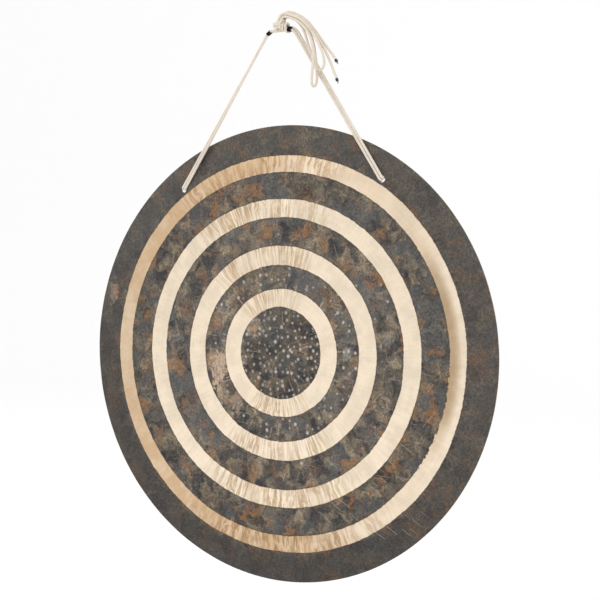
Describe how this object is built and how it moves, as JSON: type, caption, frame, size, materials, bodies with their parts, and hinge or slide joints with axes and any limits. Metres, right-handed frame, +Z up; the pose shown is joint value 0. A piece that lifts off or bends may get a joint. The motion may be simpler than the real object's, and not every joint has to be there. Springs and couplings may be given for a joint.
{
  "type": "sun gong on suspension cord",
  "caption": "Large flat bronze gong with polished and patinated rings, hung by a doubled braided cord through two holes near its rim and tied off in a slipped knot at the top.",
  "frame": {"origin": "where the doubled cord rests on its hook, midway between the two strands, at their underside", "axes": "-Y is the way the struck face looks, +X to the right when facing it, +Z up; the gong hangs in the XZ plane"},
  "size_m": [0.7, 0.035, 0.8731],
  "materials": {
    "bronze": "hammered B20 bronze: dark patina with four polished concentric bands",
    "cord": "cream braided cord",
    "tape": "black tape, satin",
    "whipping": "dark brown whipped and slightly frayed cord end"
  },
  "bodies": {
    "saddle": {"saddle_front_strand": "cord", "saddle_rear_strand": "cord"},
    "suspension": {"left_outer_leg": "cord", "left_inner_leg": "cord", "right_outer_leg": "cord", "right_inner_leg": "cord", "hitch_knot": "cord", "left_tape_band": "tape", "right_tape_band": "tape", "upper_tail": "cord", "lower_tail": "cord", "outer_bight": "cord", "lower_bight": "cord", "upper_tail_whipping": "whipping", "lower_tail_whipping": "whipping"},
    "disc": {"gong_disc": "bronze", "rear_upper_strand": "cord", "rear_lower_strand": "cord"}
  },
  "joints": [
    {"name": "swing", "type": "hinge", "parent": "saddle", "child": "suspension", "pos_m": [0, 0, 0.002], "axis": [-1, 0, 0], "range_deg": [-30, 30]},
    {"name": "nod", "type": "hinge", "parent": "suspension", "child": "disc", "pos_m": [0, -0.0014, -0.2292], "axis": [-0.9999, 0, -0.0133], "range_deg": [-2, 40]}
  ]
}
